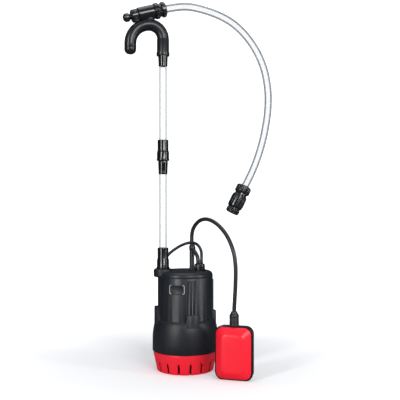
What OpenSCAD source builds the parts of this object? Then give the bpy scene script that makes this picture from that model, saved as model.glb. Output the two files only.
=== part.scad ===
// Submersible rain-barrel pump with a side riser, an over-the-rim hook bend,
// a regulating valve, a clear outlet hose and a float switch.
// The origin is the centre of the flat underside; the riser stands on the -X side.

/* [Strainer base] */
// Diameter of the strainer at the floor
base_d_bottom = 130; // [120:1:140]
// Diameter of the strainer where it meets the housing rim
base_d_top = 148; // [142:1:150]
// Height of the strainer
base_h = 46; // [38:1:56]
// Number of inlet slots
slot_count = 16; // [8:1:24]
// Width of an inlet slot
slot_w = 4.6; // [2:0.2:6]
// Height of an inlet slot above the floor
slot_h = 24; // [14:1:30]
// Wall of the strainer
base_wall = 2.8; // [2:0.1:4]

/* [Pump housing] */
// Diameter of the housing rim
rim_d = 152; // [150:1:160]
// Height of the rim band
rim_h = 24; // [16:1:30]
// Diameter of the housing barrel
body_d = 128; // [106:1:134]
// Height of the whole pump, from the floor to the top of the cover
body_top = 228; // [215:1:260]
// Wall of the housing
wall = 2.5; // [2:0.1:3.5]
// Width of a screw boss
boss_w = 29; // [24:1:34]
// How far the bosses reach from the axis
boss_reach = 72; // [69:1:75]
// Height of the tops of the bosses
boss_top = 134; // [126:1:150]
// Thickness of the top cover at its edge
cover_h = 13; // [10:1:16]

/* [Motor and impeller] */
// Outside diameter of the stator
stator_d = 72; // [60:1:74]
// Height of the stator stack
stator_h = 50; // [40:1:56]
// Diameter of the rotor
rotor_d = 40; // [34:1:44]
// Diameter of the motor shaft
shaft_d = 10; // [8:0.5:12]
// Diameter of the impeller
impeller_d = 72; // [60:1:76]
// Number of impeller blades
blade_count = 6; // [4:1:8]

/* [Riser] */
// Distance of the riser from the pump axis
riser_x = 53; // [52:1:56]
// Outside diameter of a riser tube
tube_d = 17.5; // [16:0.5:21]
// Wall of a riser tube
tube_wall = 1.5; // [1:0.1:2.5]
// Length of riser tube that shows between two couplings
tube_show = 169.5; // [120:0.1:220]
// Diameter of the bell of a coupling
bell_d = 30; // [28:1:34]
// Height of the bell of a coupling
bell_h = 22; // [18:1:26]
// Diameter of the sleeve above the bell
sleeve_d = 25; // [23:1:28]
// Height of the sleeve above the bell
sleeve_h = 26; // [20:1:32]
// Height of the plug-in collar at the top of a tube
spigot_h = 31; // [26:1:36]

/* [Hook and valve] */
// Spread of the hook between its two legs
hook_spread = 76; // [72:1:96]
// Radius of the bend over the riser leg, at the middle of the pipe
bend_r = 31; // [28:1:34]
// Diameter of the hook pipe
hook_d = 27; // [25:1:30]
// Height of the straight leg above its socket
hook_leg = 39; // [32:1:60]
// Bore of the hook pipe
hook_bore = 20; // [16:1:21]
// Tilt of the valve axis above the horizontal, in degrees
valve_tilt = 16; // [8:0.5:18]
// Diameter of the valve body
valve_d = 33; // [30:1:36]
// Length of the valve body
valve_len = 38; // [34:1:44]
// Travel of the valve plug
valve_travel = 6; // [4:0.5:7]

/* [Hose connectors] */
// Diameter of the clear outlet hose
hose_d = 17.5; // [16:0.5:18]
// Diameter of the sliding collars
collar_d = 36; // [34:1:40]
// Length of the sliding collar at the free end of the hose
collar_len = 33; // [28:1:42]
// Travel of the sliding collars
collar_travel = 4; // [3:0.5:5]
// Bore of the free connector, which takes a plug-in nipple
mouth_d = 17.2; // [15:0.1:18]

/* [Float switch] */
// Width of the float
float_w = 82; // [70:1:90]
// Height of the float
float_h = 116; // [95:1:125]
// Thickness of the float
float_t = 41; // [36:1:48]
// Depth of the bevelled front shell of the float
float_front = 15; // [14:0.5:18]
// Wall of the float shells
float_wall = 2.2; // [1.6:0.1:3]

/* [Cables] */
// Diameter of the mains lead
lead_d = 7; // [6:0.5:8]
// Diameter of the float cable
float_lead_d = 9; // [7:0.5:9]
// Diameter of the coil at the middle of its turns
coil_d = 112; // [90:1:126]
// Turns of the coil side by side
coil_cols = 5; // [4:1:6]
// Layers of the coil
coil_rows = 6; // [5:1:7]

/* [Hidden] */
$fn = 64;
// Radial clearance of pieces that sit in each other
fit = 0.05;
// Gap between faces that lie on each other
face = 0.05;
// Gap between faces of different moving pieces
play = 0.5;

// --- heights of the pump, from the floor up ---
rim_top = base_h + rim_h;
skirt_top = rim_top + 48;
cover_z = body_top - cover_h;
ear_top = body_top + 6 - face;
shoulder_r = 10;
body_r = body_d / 2;
rim_r = rim_d / 2;
inner_r = body_r - wall;
chamber_z = base_h + 6;
chamber_h = 34;
carrier_z = chamber_z + chamber_h + face;
carrier_h = 12;
carrier_r = inner_r - 2.5;
casing_z = carrier_z + carrier_h + face;
casing_wall = 2.2;
casing_r = stator_d / 2 + casing_wall + 0.6;
winding_h = 13;
winding_w = (stator_d - rotor_d) / 2 - 6;
stator_z = casing_z + winding_h + 2;
casing_top = stator_z + stator_h + winding_h + 16;
upper_bearing_z = casing_top - 13;
bearing_h = 8;
bearing_d = shaft_d + 16;
shaft_bottom = chamber_z + 6;
shaft_top = upper_bearing_z + bearing_h;
impeller_z = chamber_z + 8;
impeller_h = 16;
column_r = 12;
pipe_r = 8.6;
pipe_bore = 6.5;
screw_r = boss_reach - 6;
screw_len = 58;
screw_d = 4.2;
// Three screws; the riser column takes the fourth place
screw_turns = [-90, 0, 90];
pillar_d = 8.6;

// --- riser: two equal sections stacked on the ear of the cover ---
ear_r = 21.5;
ear_socket_d = 20;
socket_deep = 10;
bell_z = ear_top + face;
section = bell_h + sleeve_h + tube_show + spigot_h;
collar_wall = 1.65;
spigot_r = tube_d / 2 + collar_wall;
nose_d = 17;
nose_h = 18;
groove_deep = 1.6;
groove_up = 10;
riser_bore = 12;
tube_in = 18;
tube_len = tube_show + 2 * tube_in;
riser_top = bell_z + 2 * section;

// --- hook: its leg swivels on the top spigot ---
lip_in = 7;
hook_z = riser_top - lip_in;
hook_spring = hook_z + hook_leg;
tip_bend_r = hook_spread - bend_r;
hook_cx = -riser_x - bend_r;
tip_x = -riser_x - hook_spread;
crown_z = hook_spring + bend_r;
tip_spring = crown_z - tip_bend_r;
tip_seam = tip_spring - 10;
cap_h = 15;
cap_round = 11.5;
tip_end = tip_seam - cap_h;

// --- valve frame: its own +X runs along the tilted outlet axis ---
valve_x = -riser_x - hook_spread * 0.6;
// The valve sinks into the top of the hook by this much
valve_sink = 6;
valve_z = crown_z + hook_d / 2 + valve_d / 2 - valve_sink;
body_start = -13;
body_end = body_start + valve_len;
bonnet_d = 30;
bonnet_len = 16;
knob_d = 19;
knob_len = 16;
knob_start = body_start - bonnet_len - 3 - knob_len;
spindle_d = 8;
plug_d = 18;
seat_t = 11;
plug_len = 15;
plug_cone = 4;
plug_start = seat_t - 0.3 - plug_len;
plug_bore = 12;
seat_d = 11;
port_d = 12;
port_x = hook_cx - 3;
spindle_start = knob_start + knob_len + 3 - play;
spindle_len = plug_start + plug_bore - valve_travel - play - spindle_start;
nipple_d = 15;
nipple_len = 16;
collar_a_start = body_end + play;
collar_a_len = 12;
nut_a_start = collar_a_start + collar_a_len + collar_travel + play;
nut_a_len = 11;
nut_d = 35;
inner_d = 29;
hose_in = 8;

// --- free connector: its own +X runs out of the hose mouth ---
outlet_x = 146;
outlet_z = 425;
outlet_tilt = 27.5;
nut_b_d = 37;
nut_b_len = 20;
collar_b_start = nut_b_len + collar_travel + play;
ring_b_start = collar_b_start + collar_len + play;
ring_b_len = 13;
ring_b_d = 32;
mouth_deep = 28;
mouth_end = ring_b_start + ring_b_len;

// --- cable entry and float ---
badge_turn = -121;
badge_z = 191;
badge_w = 36;
badge_h = 21;
gland_x = 32;
gland_y = -10;
gland_d = 25;
gland_h = 16;
gland_turn = -17;
gland_off = 4.6;
clip_x = 19;
clip_y = 14;
pivot_z = 290;
post_top = pivot_z - 16;
post_x = 22;
post_y = 24;
post_d = 11.5;
float_turn = -66.5;
float_out = 151;
float_facing = -32;
float_lift = 1;
float_back = float_t - float_front - face;
float_seam = float_front - float_t / 2;
bevel_in = 17;
bevel_rise = 12.5;
boot_d = 21;
boot_h = 32;

// --- mains lead, coil and plug ---
turn = lead_d + 0.1;
coil_x = 38;
coil_y = 158;
plug_y = 198;
plug_z = coil_rows * turn + 19.5;
plug_tail_x = 22;
plug_tail_len = 26;
mains_plug_d = 38;
mains_plug_len = 40;
plug_face = plug_tail_len - 4 + mains_plug_len;
stem_deep = 10;
pin_d = 4.8;
pin_gap = 19;
pin_len = 19;

// Routes of the cables and of the hose, in millimetres
LEAD = [[36, -11, 244], [36, -11, 252], [37, -8, 263], [38, 0, 273], [37, 14, 282],
    [33, 28, 288], [26, 38, 290], [15, 47, 288], [3, 52, 283], [-10, 56, 275],
    [-23, 59, 265], [-32, 61, 254], [-37, 62, 241], [-38, 65, 224], [-38, 70, 200],
    [-37, 77, 170], [-36, 82, 140], [-36, 84, 110], [-36, 85, 80], [-36, 85, 52],
    [-36, 88, 31], [-36, 97, 14], [-35, 110, 5], [-34, 126, 3.5], [-33, 142, 3.5],
    [-32, 158, 3.5]];
TAIL = [[-18, 158, 40], [-16, 172, 48], [-9, 184, 56], [2, 193, 61], [14, 197, 62], [22, 198, 62]];
FLOAT_LEAD = [[28, -9, 244], [28, -9, 252], [27, -5, 262], [23, 4, 272], [20, 11, 280], [19, 14, 287]];
// Float cable, as distance out from the clip and height
FLOAT_ROUTE = [[0, 294], [0, 302], [1, 312], [6, 325], [18, 337], [33, 345], [50, 348], [70, 346],
    [92, 338], [113, 325], [130, 309], [143, 290], [151, 272], [155, 252], [156, 232], [155, 204],
    [153, 178], [151.3, 158], [151, 148], [151, 138]];
// Outlet hose, as distance along X and height
HOSE_ROUTE = [[-51.2, 831.6], [-44.8, 833.4], [-34, 836.2], [-20, 839.2], [-4, 841.5], [12, 842], [30, 840], [51, 836],
    [73, 830], [97, 821], [120, 808], [141, 791], [160, 770], [176, 747], [188, 723], [197, 698],
    [202, 673], [205, 648], [205, 622], [203, 596], [199, 571], [194, 546], [187, 520], [177, 490],
    [165, 461], [152, 435], [146, 425], [142, 417.5]];

// ---------- helpers ----------

// Tube along Z
module pipe(od, id, h) {
    difference() {
        cylinder(d = od, h = h);
        translate([0, 0, -1]) cylinder(d = id, h = h + 2);
    }
}

// Cylinder with rounded top and bottom edges, exact
module pill(d, h, r) {
    rotate_extrude() pill_profile(d / 2, h, r);
}

module pill_profile(radius, h, r) {
    square([radius - r, h]);
    translate([0, r]) square([radius, h - 2 * r]);
    intersection() {
        square([radius, h]);
        union() {
            translate([radius - r, r]) circle(r);
            translate([radius - r, h - r]) circle(r);
        }
    }
}

// Rounded rectangle, centred, exact
module rounded(w, h, r) {
    square([w - 2 * r, h], center = true);
    square([w, h - 2 * r], center = true);
    for (sx = [-1, 1], sy = [-1, 1])
        translate([sx * (w / 2 - r), sy * (h / 2 - r)]) circle(r);
}

// Ring of grip ribs round the Z axis
module grips(d, count, rib_d, h) {
    for (i = [0 : count - 1])
        rotate(i * 360 / count) translate([d / 2, 0, 0]) cylinder(d = rib_d, h = h, $fn = 24);
}

module at_riser(z) {
    translate([-riser_x, 0, z]) children();
}

module in_valve(t) {
    translate([valve_x, 0, valve_z]) rotate([0, 90 - valve_tilt, 0]) translate([0, 0, t]) children();
}

module in_outlet(t) {
    translate([outlet_x, 0, outlet_z]) rotate([0, 180 + outlet_tilt, 0])
        translate([0, 0, t]) children();
}

module in_float() {
    translate([clip_x, clip_y, float_lift]) rotate(float_turn) translate([float_out, 0, 0])
        rotate(float_facing - float_turn) children();
}

// ---------- swept cables ----------

function unit(v) = v / norm(v);
function tangent(p, i) = unit(p[min(i + 1, len(p) - 1)] - p[max(i - 1, 0)]);
// Side directions along a route, each turned as little as possible from the one before
function sides(p, last, i = 0) = i == len(p) ? [] :
    let (t = tangent(p, i), a = unit(last - (last * t) * t))
    concat([a], sides(p, a, i + 1));
function ring_at(p, i, a, r, n) =
    let (b = cross(tangent(p, i), a))
    [for (k = [0 : n - 1]) p[i] + r * (cos(k * 360 / n) * a + sin(k * 360 / n) * b)];

// Round cable of diameter d with n sides, swept along the points of a route
module sweep(p, d, n, first_side) {
    a = sides(p, first_side);
    rings = [for (i = [0 : len(p) - 1]) each ring_at(p, i, a[i], d / 2, n)];
    walls = [for (i = [0 : len(p) - 2], k = [0 : n - 1])
        [i * n + k, i * n + (k + 1) % n, (i + 1) * n + (k + 1) % n, (i + 1) * n + k]];
    start = [for (k = [0 : n - 1]) n - 1 - k];
    end = [for (k = [0 : n - 1]) (len(p) - 1) * n + k];
    polyhedron(points = rings, faces = concat([start], walls, [end]));
}

// ---------- pump ----------

module strainer_shape(grow) {
    rotate_extrude()
        polygon([[0, 0], [base_d_bottom / 2 + grow, 0], [base_d_top / 2 + grow, base_h - 6],
            [base_d_top / 2 + grow, base_h], [0, base_h]]);
}

module strainer_base() {
    color("crimson") difference() {
        strainer_shape(0);
        translate([0, 0, -0.01]) intersection() {
            strainer_shape(-base_wall);
            cylinder(d = rim_d, h = base_h - base_wall);
        }
        translate([0, 0, base_h - base_wall - 1]) cylinder(r = inner_r - 8, h = base_wall + 2);
        for (i = [0 : slot_count - 1])
            rotate((i + 0.5) * 360 / slot_count - 105)
                translate([base_d_bottom / 2 - 12, -slot_w / 2, -1]) cube([24, slot_w, slot_h + 1]);
        for (a = screw_turns)
            rotate(a) translate([screw_r, 0, base_h - base_wall - 1]) cylinder(d = 5, h = base_wall + 2);
    }
}

module base_plate() {
    color("firebrick") difference() {
        union() {
            cylinder(d = base_d_bottom - 2 * base_wall - 1, h = 3);
            for (i = [0 : 2]) rotate(i * 120 + 30) translate([40, 0, 2.5]) pipe(9, 4, base_h - 2.5);
        }
        for (i = [0 : 11])
            rotate(i * 30 + 15) translate([20, -1.6, -1]) cube([14, 3.2, 5]);
    }
}

module screw_boss(h) {
    intersection() {
        translate([0, -boss_w / 2, rim_top - 1]) cube([boss_reach, boss_w, h]);
        translate([0, 0, rim_top - 1]) cylinder(r = boss_reach, h = h);
    }
}

// Grooved column over a boss, which covers the long screw
module screw_column(z0, z1) {
    translate([body_r - 5, 0, z0]) linear_extrude(z1 - z0) {
        difference() {
            translate([0, -9.5]) square([7, 19]);
            translate([5.6, -6.4]) square([3, 5]);
            translate([5.6, 1.4]) square([3, 5]);
        }
    }
}

module skirt_profile(grow) {
    polygon(concat(
        [[0, base_h + face], [rim_r + grow, base_h + face], [rim_r + grow, rim_top]],
        [for (i = [1 : 12]) let (a = i * 7.5)
            [body_r + grow + (rim_r - body_r) * cos(a), rim_top + (skirt_top - rim_top) * sin(a)]],
        [[body_r + grow, cover_z], [0, cover_z]]));
}

// Walls of the housing: a bell-shaped skirt, a barrel, the bosses and the riser column
module housing_walls() {
    difference() {
        union() {
            rotate_extrude() skirt_profile(0);
            for (a = screw_turns) rotate(a) screw_boss(boss_top - rim_top + 1);
            rotate(180) screw_boss(boss_top - rim_top + 14);
            for (a = screw_turns) rotate(a) screw_column(boss_top - 1, cover_z - 8);
            translate([-riser_x, 0, rim_top]) cylinder(r = column_r, h = cover_z - rim_top);
        }
        rotate_extrude() skirt_profile(-wall);
        translate([0, 0, base_h]) cylinder(r = rim_r - wall, h = 4);
        translate([0, 0, cover_z - 1]) cylinder(r = inner_r, h = 2);
    }
}

// Pillar inside the housing that a screw bites into, with a web to the wall
module screw_pillar() {
    translate([0, 0, base_h + face]) {
        translate([screw_r, 0, 0]) cylinder(d = pillar_d, h = boss_top - base_h - 4);
        translate([screw_r, -1.5, 0]) cube([boss_reach - screw_r, 3, boss_top - base_h - 4]);
        translate([boss_reach - 1, -1.5, 0]) cube([rim_r - boss_reach - 0.5, 3, rim_h - 1]);
    }
}

module pump_housing() {
    color("#202226") difference() {
        union() {
            housing_walls();
            for (a = screw_turns) rotate(a) screw_pillar();
        }
        at_riser(carrier_z + carrier_h) cylinder(r = pipe_r + 0.4, h = body_top);
        for (a = screw_turns) rotate(a)
            translate([screw_r, 0, base_h]) cylinder(d = screw_d + 2 * fit, h = screw_len);
        at_riser(cover_z - 3) cylinder(r = pipe_r + 2.2, h = 4);
    }
}

// Outline of the cover with its round shoulder
module cover_profile() {
    square([body_r - shoulder_r, cover_h]);
    square([body_r, cover_h - shoulder_r]);
    intersection() {
        square([body_r, cover_h]);
        translate([body_r - shoulder_r, cover_h - shoulder_r]) circle(shoulder_r);
    }
}

module top_cover() {
    color("#1b1d20") difference() {
        union() {
            difference() {
                union() {
                    translate([0, 0, cover_z]) rotate_extrude() cover_profile();
                    at_riser(cover_z) pill(2 * ear_r, ear_top - cover_z, 4);
                    translate([gland_x, gland_y, body_top - 1]) cylinder(d = gland_d - 5, h = 10);
                }
                translate([0, 0, cover_z - 4]) cylinder(r = body_r + 0.2, h = 4 + face);
            }
            translate([0, 0, cover_z - 5]) pipe(2 * inner_r - 2 * fit, 2 * inner_r - 6, 6);
        }
        translate([0, 0, cover_z - 6]) cylinder(r = inner_r - 3, h = 9 + face);
        at_riser(cover_z - 6) cylinder(r = column_r + 0.3, h = 6 + face);
        at_riser(cover_z - 6) cylinder(r = pipe_r + fit, h = ear_top - socket_deep - cover_z + 7);
        at_riser(cover_z) cylinder(r = riser_bore / 2, h = 40);
        at_riser(ear_top - socket_deep) cylinder(d = ear_socket_d + 2 * fit, h = 20);
        translate([gland_x, gland_y, cover_z]) cylinder(d = gland_d - 9, h = 40);
    }
}

module housing_screws() {
    color("silver") for (a = screw_turns) rotate(a) translate([screw_r, 0, 0]) {
        difference() {
            translate([0, 0, base_h - base_wall - 3.2]) cylinder(d = 7.4, h = 3);
            translate([0, 0, base_h - base_wall - 3.4]) cylinder(d = 3.6, h = 1.6, $fn = 6);
        }
        translate([0, 0, base_h - base_wall - 0.4]) cylinder(d = screw_d, h = screw_len);
    }
}

// O-ring round the foot of the motor casing
module motor_seal() {
    color("#111111") translate([0, 0, casing_z + 1.3]) rotate_extrude()
        translate([casing_r + 1.2 + fit, 0]) circle(1.2, $fn = 24);
}

module volute() {
    out_x = -riser_x;
    color("#3a3d42") difference() {
        union() {
            translate([0, 0, chamber_z]) cylinder(r = impeller_d / 2 + 6, h = chamber_h);
            translate([out_x, 0, chamber_z + 6]) cylinder(r = pipe_r + 3.1, h = chamber_h - 6);
            translate([out_x, -pipe_r - 1, chamber_z + 8]) cube([riser_x - 10, 2 * pipe_r + 2, 18]);
        }
        translate([0, 0, chamber_z - 1]) cylinder(r = impeller_d / 2 + 3, h = chamber_h - 5);
        translate([0, 0, chamber_z]) cylinder(d = shaft_d + 12, h = chamber_h + 2);
        translate([out_x, 0, chamber_z + 16]) rotate([0, 90, 0])
            cylinder(r = pipe_bore - 1, h = riser_x - 20);
        translate([out_x, 0, chamber_z + 16]) cylinder(r = pipe_bore, h = chamber_h);
        translate([out_x, 0, chamber_z + chamber_h - 8]) cylinder(r = pipe_r + fit, h = 20);
    }
}

module suction_plate() {
    color("dimgray") difference() {
        translate([0, 0, base_h + face]) cylinder(r = inner_r - 4, h = chamber_z - base_h - 2 * face);
        translate([0, 0, base_h - 1]) cylinder(d = 30, h = 20);
        translate([0, 0, base_h + 4]) cylinder(d = 34, h = 20);
    }
}

module bearing_carrier() {
    color("#4a4e55") difference() {
        translate([0, 0, carrier_z]) cylinder(r = carrier_r, h = carrier_h);
        translate([0, 0, carrier_z - 1]) cylinder(d = shaft_d + 8 + 2 * fit, h = carrier_h + 2);
        translate([0, 0, carrier_z + carrier_h - bearing_h]) cylinder(d = bearing_d + 2 * fit, h = 20);
        at_riser(carrier_z - 1) cylinder(r = pipe_r + 0.4, h = carrier_h + 2);
    }
}

module motor_casing() {
    color("#7d838b") difference() {
        translate([0, 0, casing_z]) pill(2 * casing_r, casing_top - casing_z, 3);
        translate([0, 0, casing_z - 1])
            cylinder(r = casing_r - casing_wall, h = upper_bearing_z - casing_z - 1);
        translate([0, 0, upper_bearing_z - 4]) cylinder(d = bearing_d + 2 * fit, h = bearing_h + 4.3);
        translate([0, 15, upper_bearing_z - 5]) cylinder(d = 8, h = 30);
    }
}

module bearing(z) {
    translate([0, 0, z]) difference() {
        cylinder(d = bearing_d, h = bearing_h);
        translate([0, 0, -1]) cylinder(d = shaft_d + 2 * fit, h = bearing_h + 2);
    }
}

module lower_bearing() {
    color("silver") bearing(carrier_z + carrier_h - bearing_h);
}

module upper_bearing() {
    color("silver") bearing(upper_bearing_z);
}

module shaft_seal() {
    color("#151515") translate([0, 0, carrier_z - 2]) pipe(shaft_d + 8, shaft_d + 2 * fit + 0.02, 5.5);
}

module stator_core() {
    color("slategray") translate([0, 0, stator_z]) difference() {
        cylinder(d = stator_d, h = stator_h);
        translate([0, 0, -1]) cylinder(d = rotor_d + 1.2, h = stator_h + 2);
        for (i = [0 : 11]) rotate(i * 30) translate([rotor_d / 2 + 3, -2, -1]) cube([winding_w - 2, 4, stator_h + 2]);
    }
}

module stator_windings() {
    color("chocolate") for (z = [stator_z - winding_h - face, stator_z + stator_h + face])
        translate([0, 0, z]) rotate_extrude() translate([rotor_d / 2 + 2.5, 0])
            union() {
                square([winding_w, winding_h - 3]);
                translate([1.5, 0]) square([winding_w - 3, winding_h]);
            }
}

module capacitor() {
    color("gainsboro") translate([4, -25, casing_top + 13]) rotate([0, 90, 90]) pill(25, 50, 1.5);
}

module discharge_pipe() {
    z0 = chamber_z + chamber_h - 8 + face;
    color("#2b2e33") at_riser(z0) pipe(2 * pipe_r, 2 * pipe_bore, ear_top - socket_deep - play - z0);
}

module discharge_seal() {
    color("#101010") at_riser(cover_z - 2) rotate_extrude()
        translate([pipe_r + 0.9 + fit, 0]) circle(0.8, $fn = 24);
}

module cable_gland_nut() {
    color("#17181b") translate([gland_x, gland_y, body_top + face]) difference() {
        union() {
            pill(gland_d - 1.5, gland_h, 2);
            grips(gland_d - 2, 16, 2, gland_h - 4);
        }
        translate([0, 0, -1]) cylinder(d = gland_d - 5 + 2 * fit, h = 10 + 1 + face);
        cylinder(d = gland_d - 9, h = 40);
    }
}

module cable_gland_seal() {
    color("#0c0c0c") translate([gland_x, gland_y, body_top - 4]) difference() {
        cylinder(d = gland_d - 9 - 2 * fit, h = gland_h + 3.5);
        for (s = [-1, 1]) rotate(gland_turn) translate([s * gland_off, 0, -1])
            cylinder(d = s < 0 ? float_lead_d - 0.6 : lead_d + 0.4, h = gland_h + 3);
    }
}

module cable_post() {
    color("#191a1d") translate([post_x, post_y, body_top + face]) {
        cylinder(d1 = post_d + 4, d2 = post_d, h = 5);
        translate([0, 0, 5]) cylinder(d = post_d, h = post_top - body_top - 5);
        translate([0, 0, post_top - body_top]) cylinder(d = 6, h = 10);
    }
}

// Snap clip on the post, tilted along the cable that it holds
module cable_clip() {
    color("#222428") difference() {
        union() {
            translate([post_x, post_y, post_top + 2 * face]) cylinder(d = post_d + 1.5, h = 9);
            at_clip() cylinder(d = float_lead_d + 5, h = 9, center = true);
        }
        translate([post_x, post_y, post_top - 1]) cylinder(d = 6 + 2 * fit, h = 12);
        at_clip() cylinder(d = float_lead_d + 0.8, h = 12, center = true);
    }
}

module at_clip() {
    translate([clip_x + 0.8, clip_y - 2.2, pivot_z - 9]) rotate([-22, -8, 0]) children();
}

module label_badge() {
    color("#2c2f34") intersection() {
        rotate(badge_turn) translate([body_r - 4, 0, badge_z]) rotate([90, 0, 90]) linear_extrude(8)
            rounded(badge_w, badge_h, 4);
        difference() {
            cylinder(r = body_r + 1.4, h = body_top);
            translate([0, 0, -1]) cylinder(r = body_r + face, h = body_top + 2);
            intersection() {
                cylinder(r = body_r + 20, h = body_top);
                difference() {
                    rotate(badge_turn) translate([body_r - 4, 0, badge_z]) rotate([90, 0, 90])
                        linear_extrude(8) rounded(badge_w - 4, badge_h - 4, 2.5);
                    cylinder(r = body_r + 0.9, h = body_top);
                }
            }
        }
    }
}

// ---------- riser ----------

module riser_bell(z) {
    color("#121315") at_riser(z) difference() {
        union() {
            rotate_extrude() {
                pill_profile(bell_d / 2, 4, 1.2);
                translate([0, 2]) square([bell_d / 2 - 1, bell_h - 4]);
                polygon([[0, bell_h - 3], [bell_d / 2 - 1, bell_h - 3],
                    [sleeve_d / 2, bell_h + 2], [0, bell_h + 2]]);
                translate([0, bell_h]) pill_profile(sleeve_d / 2, sleeve_h, 1);
            }
            children();
        }
        translate([0, 0, -20]) cylinder(d = riser_bore, h = 100);
        translate([0, 0, bell_h + sleeve_h - tube_in]) cylinder(d = tube_d + 2 * fit, h = 40);
    }
}

module lower_riser_bell() {
    riser_bell(bell_z) translate([0, 0, ear_top - socket_deep - bell_z + face])
        cylinder(d = ear_socket_d, h = socket_deep + 4);
}

module upper_riser_bell() {
    color("#121315") difference() {
        riser_bell(bell_z + section);
        at_riser(bell_z + section - 1) cylinder(d = nose_d + 2 * fit, h = nose_h + 1.3);
    }
}

module riser_tube(z) {
    color("gainsboro") at_riser(z + face) pipe(tube_d, tube_d - 2 * tube_wall, tube_len - 2 * face);
}

module lower_riser_tube() {
    riser_tube(bell_z + bell_h + sleeve_h - tube_in);
}

module upper_riser_tube() {
    riser_tube(bell_z + section + bell_h + sleeve_h - tube_in);
}

// Plug-in end of a section: a collar round the tube, then a nose with a seal groove
module riser_spigot(z) {
    color("#121315") at_riser(z) difference() {
        rotate_extrude() {
            pill_profile(spigot_r, 5, 1);
            polygon([[0, 2], [spigot_r - 0.2, 2], [spigot_r + 0.8, spigot_h - 5],
                [spigot_r + 0.8, spigot_h], [0, spigot_h]]);
            square([nose_d / 2, spigot_h + nose_h - 1]);
            square([nose_d / 2 - 1, spigot_h + nose_h]);
        }
        translate([0, 0, -1]) cylinder(d = riser_bore, h = 100);
        translate([0, 0, -1]) cylinder(d = tube_d + 2 * fit, h = tube_in + 1);
        translate([0, 0, spigot_h + groove_up - 1]) rotate_extrude()
            translate([nose_d / 2 - groove_deep, 0]) square([3, 2]);
    }
}

module lower_riser_spigot() {
    riser_spigot(bell_z + section - spigot_h - face);
}

module upper_riser_spigot() {
    riser_spigot(riser_top - spigot_h - face);
}

module riser_seals() {
    color("#0a0a0a") for (z = [bell_z + section, riser_top]) at_riser(z - face + groove_up)
        rotate_extrude() translate([nose_d / 2 - groove_deep / 2 + 0.02, 0])
            circle(groove_deep / 2, $fn = 24);
}

// ---------- hook and valve ----------

// The bend: a tight quarter over the riser leg, then a wider one down to the tip
module hook_pipe(d) {
    translate([hook_cx, 0, hook_spring]) rotate([90, 0, 0])
        rotate_extrude(angle = 90) translate([bend_r, 0]) circle(d = d);
    translate([hook_cx, 0, tip_spring]) rotate([90, 0, 0]) rotate(90)
        rotate_extrude(angle = 90) translate([tip_bend_r, 0]) circle(d = d);
}

module hook_bend() {
    nose_room = riser_top + nose_h + 1;
    color("#151619") difference() {
        union() {
            difference() {
                hook_pipe(hook_d);
                hook_pipe(hook_bore);
            }
            at_riser(hook_z) pill(hook_d + 3, 9, 1.2);
            at_riser(hook_z + 5) cylinder(d = hook_d + 1, h = hook_leg - 5);
            translate([tip_x, 0, tip_seam]) cylinder(d = hook_d, h = tip_spring - tip_seam);
            intersection() {
                translate([hook_cx, 0, crown_z]) cylinder(d = 22, h = 30);
                in_valve(body_start) cylinder(d = valve_d + 8, h = valve_len);
            }
        }
        hook_pipe(hook_bore);
        at_riser(nose_room) cylinder(d = hook_bore, h = hook_spring - nose_room);
        at_riser(hook_z - 1) cylinder(r = spigot_r + 1.6, h = lip_in + 1 + play);
        at_riser(hook_z) cylinder(d = nose_d + 2 * fit, h = nose_room - hook_z + 1);
        translate([tip_x, 0, tip_seam - 1]) cylinder(d = hook_bore, h = tip_spring - tip_seam + 1);
        in_valve(body_start - 60) cylinder(d = valve_d + 2 * fit, h = valve_len + 120);
        translate([port_x, 0, crown_z]) cylinder(d = port_d, h = 40);
    }
}

module hook_end_cap() {
    color("#1c1d21") translate([tip_x, 0, tip_end]) difference() {
        union() {
            intersection() {
                pill(hook_d, 3 * cap_h, cap_round);
                cylinder(d = hook_d + 2, h = cap_h - face);
            }
            translate([0, 0, cap_h - 1]) cylinder(d = hook_bore - 2 * fit, h = 7);
        }
        translate([0, 0, 4]) cylinder(d = hook_bore - 5, h = 40);
    }
}

module valve_body() {
    color("#131417") difference() {
        union() {
            in_valve(body_start) pill(valve_d, valve_len, 2);
            in_valve(body_end - 1) cylinder(d = nipple_d, h = nipple_len + 1);
        }
        in_valve(body_start - 1) cylinder(d = plug_d + 2 * fit, h = seat_t - body_start + 1);
        in_valve(body_start) cylinder(d = seat_d, h = 100);
        translate([port_x, 0, valve_z - 30]) cylinder(d = port_d, h = 30);
    }
}

module valve_bonnet() {
    color("#1a1b1f") in_valve(body_start) difference() {
        union() {
            translate([0, 0, -bonnet_len]) pill(bonnet_d - 2, bonnet_len - face, 2);
            translate([0, 0, -bonnet_len + 2]) grips(bonnet_d - 2.6, 18, 2.6, bonnet_len - 4);
            translate([0, 0, -1]) cylinder(d = plug_d, h = 3);
        }
        translate([0, 0, -bonnet_len - 1]) cylinder(d = spindle_d + 2 * fit, h = 60);
    }
}

module valve_knob() {
    color("#0e0f11") in_valve(knob_start) difference() {
        union() {
            pill(knob_d, knob_len, 6);
            translate([0, 0, 4]) grips(knob_d - 1.6, 10, 2.4, knob_len - 8);
            cylinder(d = 12, h = knob_len + 3 - play);
        }
        translate([0, 0, 5]) cylinder(d = 6 + 2 * fit, h = 40);
    }
}

module valve_spindle() {
    color("silver") {
        in_valve(knob_start + 5 + face) cylinder(d = 6, h = knob_len - 2);
        in_valve(spindle_start + face) cylinder(d = spindle_d, h = spindle_len);
    }
}

module valve_plug() {
    color("ivory") in_valve(plug_start) difference() {
        union() {
            cylinder(d = plug_d, h = plug_len - plug_cone);
            translate([0, 0, plug_len - plug_cone]) cylinder(d1 = plug_d, d2 = seat_d + 1, h = plug_cone);
        }
        translate([0, 0, -1]) cylinder(d = spindle_d + 2 * fit, h = plug_bore + 1);
    }
}

// ---------- outlet hose and its connectors ----------

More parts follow.
